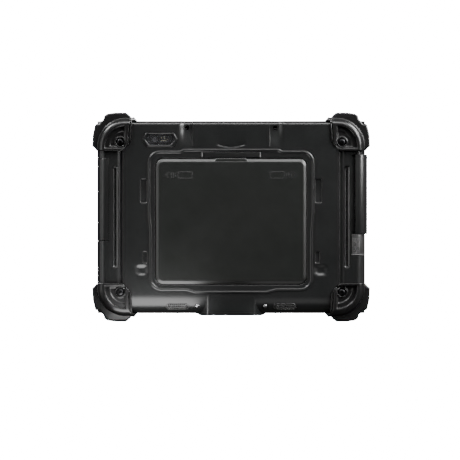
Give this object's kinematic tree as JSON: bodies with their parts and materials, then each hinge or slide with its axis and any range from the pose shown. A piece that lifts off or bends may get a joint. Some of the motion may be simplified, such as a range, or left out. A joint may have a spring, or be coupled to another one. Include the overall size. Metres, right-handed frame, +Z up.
{
  "type": "rugged tablet data collector",
  "caption": "Rugged landscape field tablet seen from its back: rubber corner bumpers, removable battery pack with latch, side port doors, camera window and a lower dock connector.",
  "frame": {"origin": "on the floor under the middle of the tablet, which stands upright in landscape on its two lower bumpers", "axes": "+Z up, +Y out of the screen, -Y out of the back, +X to the right of someone who looks at the back"},
  "size_m": [0.2784, 0.038, 0.2097],
  "materials": {
    "shell_plastic": "fine moulded grain, semi-gloss",
    "bezel_plastic": "fine moulded grain",
    "bumper_rubber": "smooth satin rubber",
    "battery_plastic": "matte",
    "cover_rubber": "textured grey",
    "seal_rubber": "soft matte",
    "screw_steel": "dark zinc",
    "bright_steel": "polished",
    "anchor_brass": "turned",
    "magnesium": "cast and blasted",
    "spreader_copper": "rolled copper",
    "board_laminate": "solder mask",
    "module_shield": "tinned sheet",
    "insulator_plastic": "matte",
    "dark_glass": "polished",
    "display_panel": "switched off",
    "flash_lens": "clear over phosphor"
  },
  "bodies": {
    "tablet": {"rear_housing": "shell_plastic", "front_bezel": "bezel_plastic", "perimeter_seal": "seal_rubber", "upper_left_bumper": "bumper_rubber", "upper_right_bumper": "bumper_rubber", "lower_left_bumper": "bumper_rubber", "lower_right_bumper": "bumper_rubber", "upper_left_bumper_screw": "screw_steel", "upper_right_bumper_screw": "screw_steel", "lower_left_bumper_screw": "screw_steel", "lower_right_bumper_screw": "screw_steel", "latch_spring": "screw_steel", "bay_connector": "insulator_plastic", "camera_surround": "shell_plastic", "camera_window": "dark_glass", "camera_module": "insulator_plastic", "camera_flash": "flash_lens", "left_speaker_grille": "insulator_plastic", "right_speaker_grille": "insulator_plastic", "left_speaker": "insulator_plastic", "right_speaker": "insulator_plastic", "left_dome_screw": "bright_steel", "right_dome_screw": "bright_steel", "left_strap_anchor": "anchor_brass", "right_strap_anchor": "anchor_brass", "dock_connector": "insulator_plastic", "left_hinge_pin": "screw_steel", "right_hinge_pin": "screw_steel", "network_socket": "module_shield", "usb_socket_upper": "module_shield", "usb_socket_lower": "module_shield", "power_socket": "insulator_plastic", "video_socket": "module_shield", "memory_card_slot": "module_shield", "serial_socket": "module_shield", "audio_socket": "insulator_plastic", "left_port_board": "board_laminate", "right_port_board": "board_laminate", "storage_module": "board_laminate", "wireless_module": "module_shield", "positioning_antenna": "insulator_plastic", "main_board": "board_laminate", "heat_spreader": "spreader_copper", "chassis_frame": "magnesium", "display_panel": "display_panel", "display_gasket": "seal_rubber", "touch_glass": "dark_glass", "button_board": "board_laminate"},
    "battery": {"battery_pack": "battery_plastic"},
    "latch": {"battery_latch": "shell_plastic"},
    "left_door": {"left_port_door": "shell_plastic", "left_door_seal": "seal_rubber"},
    "right_door": {"right_port_door": "shell_plastic", "right_door_seal": "seal_rubber"},
    "small_cover": {"audio_cover": "cover_rubber"},
    "power_key": {"power_button": "bezel_plastic"},
    "home_key": {"home_button": "bezel_plastic"},
    "function_key": {"function_button": "bezel_plastic"},
    "volume_up_key": {"volume_up_button": "bezel_plastic"},
    "volume_down_key": {"volume_down_button": "bezel_plastic"}
  },
  "joints": [
    {"name": "battery_release", "type": "slide", "parent": "tablet", "child": "battery", "axis": [0, -1, 0], "range_m": [0, 0.03]},
    {"name": "latch_press", "type": "slide", "parent": "tablet", "child": "latch", "axis": [0, 1, 0], "range_m": [0, 0.0018], "stiffness_N_per_m": 1200, "deforming": ["latch_spring"]},
    {"name": "left_door_hinge", "type": "hinge", "parent": "tablet", "child": "left_door", "pos_m": [-0.13245, 0.0026, 0.1224], "axis": [0, 0, -1], "range_deg": [0, 90]},
    {"name": "right_door_hinge", "type": "hinge", "parent": "tablet", "child": "right_door", "pos_m": [0.13245, 0.0026, 0.1276], "axis": [0, 0, 1], "range_deg": [0, 90]},
    {"name": "small_cover_hinge", "type": "hinge", "parent": "tablet", "child": "small_cover", "pos_m": [0.13245, 0.0026, 0.07715], "axis": [0, 0, 1], "range_deg": [0, 90]},
    {"name": "power_press", "type": "slide", "parent": "tablet", "child": "power_key", "axis": [0, -1, 0], "range_m": [0, 0.0006], "stiffness_N_per_m": 900},
    {"name": "home_press", "type": "slide", "parent": "tablet", "child": "home_key", "axis": [0, -1, 0], "range_m": [0, 0.0006], "stiffness_N_per_m": 900},
    {"name": "function_press", "type": "slide", "parent": "tablet", "child": "function_key", "axis": [0, -1, 0], "range_m": [0, 0.0006], "stiffness_N_per_m": 900},
    {"name": "volume_up_press", "type": "slide", "parent": "tablet", "child": "volume_up_key", "axis": [0, -1, 0], "range_m": [0, 0.0006], "stiffness_N_per_m": 900},
    {"name": "volume_down_press", "type": "slide", "parent": "tablet", "child": "volume_down_key", "axis": [0, -1, 0], "range_m": [0, 0.0006], "stiffness_N_per_m": 900}
  ]
}
